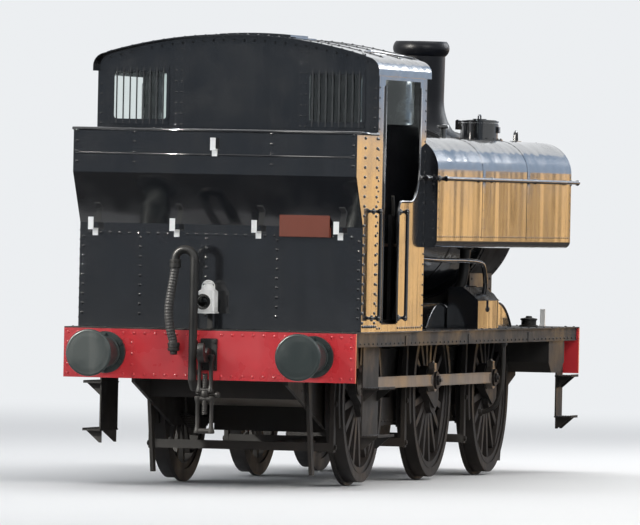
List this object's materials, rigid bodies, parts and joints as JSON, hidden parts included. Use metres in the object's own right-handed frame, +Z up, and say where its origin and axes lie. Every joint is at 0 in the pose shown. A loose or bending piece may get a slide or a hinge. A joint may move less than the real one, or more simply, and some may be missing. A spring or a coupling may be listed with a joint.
{
  "type": "tank locomotive",
  "caption": "Six-coupled steam tank locomotive with pannier tanks beside a domed boiler, an open-sided cab with an arched roof and a rear bunker that leans out at the top.",
  "frame": {"origin": "under the middle of the engine, midway between the buffer faces, at the lowest point of the wheel flanges, 29 mm below the rail tops", "axes": "+X forward towards the chimney, +Y to the engine's left, +Z up"},
  "size_m": [9.5, 2.746, 3.7669],
  "materials": {
    "black_paint": "gloss black enamel",
    "red_paint": "gloss red enamel on the outer face",
    "frame_paint": "satin black, dusty",
    "wheel_paint": "satin black, oily",
    "rod_steel": "dull oiled steel",
    "buffer_steel": "dark greased steel",
    "smokebox_paint": "semi-matt heat resistant black",
    "brass": "polished",
    "cab_paint": "satin inside the cab",
    "floor_wood": "worn boards",
    "glass": "clear",
    "white_paint": "gloss white",
    "lamp_white": "gloss white",
    "hose_black": "matt"
  },
  "bodies": {
    "engine": {"ashpan": "frame_paint", "axleboxes": "frame_paint", "blast_pipe": "smokebox_paint", "boiler_barrel": "black_paint", "brake_gear": "frame_paint", "buffer_beams": "red_paint", "buffers": "buffer_steel", "bunker": "black_paint", "cab_back": "black_paint", "cab_door_hinges": "black_paint", "cab_fittings": "cab_paint", "cab_floor": "floor_wood", "cab_front": "black_paint", "cab_roof": "black_paint", "cab_sides": "black_paint", "chimney": "smokebox_paint", "couplings": "frame_paint", "dome": "black_paint", "filler_necks": "black_paint", "firebox": "black_paint", "frame_stretchers": "frame_paint", "guard_irons": "frame_paint", "handrails": "black_paint", "inside_cylinders": "frame_paint", "inside_motion": "rod_steel", "lamp_irons": "white_paint", "leaf_springs": "frame_paint", "main_frames": "frame_paint", "rear_window_guards": "black_paint", "running_plate": "frame_paint", "safety_valve_bonnet": "black_paint", "sand_pipes": "frame_paint", "sandboxes": "frame_paint", "smokebox": "smokebox_paint", "smokebox_front": "smokebox_paint", "smokebox_hinge": "smokebox_paint", "smokebox_saddle": "smokebox_paint", "splashers": "black_paint", "steps": "frame_paint", "tail_lamp": "lamp_white", "tank_brackets": "black_paint", "tanks": "black_paint", "toolboxes": "black_paint", "vacuum_hoses": "hose_black", "vacuum_pipes": "frame_paint", "whistles": "brass", "window_glass": "glass"},
    "leading_wheelset": {"leading_wheels": "wheel_paint", "leading_axle": "rod_steel"},
    "driving_wheelset": {"driving_wheels": "wheel_paint", "driving_axle": "rod_steel"},
    "trailing_wheelset": {"trailing_wheels": "wheel_paint", "trailing_axle": "rod_steel"},
    "rod_left": {"coupling_rod_left": "rod_steel"},
    "rod_right": {"coupling_rod_right": "rod_steel"},
    "smokebox_door": {"smokebox_door": "smokebox_paint"},
    "filler_lid_left": {"filler_lid_left": "black_paint"},
    "filler_lid_right": {"filler_lid_right": "black_paint"},
    "cab_door_left": {"cab_door_left": "black_paint"},
    "cab_door_right": {"cab_door_right": "black_paint"}
  },
  "joints": [
    {"name": "driving_spin", "type": "hinge", "parent": "engine", "child": "driving_wheelset", "pos_m": [0.24, 0, 0.734], "axis": [0, 1, 0], "continuous": true},
    {"name": "leading_spin", "type": "hinge", "parent": "engine", "child": "leading_wheelset", "pos_m": [2.45, 0, 0.734], "axis": [0, 1, 0], "continuous": true},
    {"name": "trailing_spin", "type": "hinge", "parent": "engine", "child": "trailing_wheelset", "pos_m": [-2.275, 0, 0.734], "axis": [0, 1, 0], "continuous": true},
    {"name": "rod_left_turn", "type": "hinge", "parent": "driving_wheelset", "child": "rod_left", "pos_m": [0.35795, 0.883, 0.99893], "axis": [0, 1, 0], "continuous": true},
    {"name": "rod_right_turn", "type": "hinge", "parent": "driving_wheelset", "child": "rod_right", "pos_m": [-0.02493, -0.883, 0.85195], "axis": [0, 1, 0], "continuous": true},
    {"name": "smokebox_door_hinge", "type": "hinge", "parent": "engine", "child": "smokebox_door", "pos_m": [3.69, -0.642, 2.253], "axis": [0, 0, -1], "range_deg": [0, 115]},
    {"name": "filler_lid_left_hinge", "type": "hinge", "parent": "engine", "child": "filler_lid_left", "pos_m": [1.696, 0.662, 3.059], "axis": [1, 0, 0], "range_deg": [0, 105]},
    {"name": "filler_lid_right_hinge", "type": "hinge", "parent": "engine", "child": "filler_lid_right", "pos_m": [1.696, -0.662, 3.059], "axis": [-1, 0, 0], "range_deg": [0, 105]},
    {"name": "cab_door_left_hinge", "type": "hinge", "parent": "engine", "child": "cab_door_left", "pos_m": [-3.182, 1.152, 1.7875], "axis": [0, 0, 1], "range_deg": [0, 90]},
    {"name": "cab_door_right_hinge", "type": "hinge", "parent": "engine", "child": "cab_door_right", "pos_m": [-3.182, -1.152, 1.7875], "axis": [0, 0, -1], "range_deg": [0, 90]}
  ],
  "couplings": [
    {"joint": "leading_spin", "follows": "driving_spin", "ratio": 1},
    {"joint": "trailing_spin", "follows": "driving_spin", "ratio": 1},
    {"joint": "rod_left_turn", "follows": "driving_spin", "ratio": -1},
    {"joint": "rod_right_turn", "follows": "driving_spin", "ratio": -1}
  ]
}
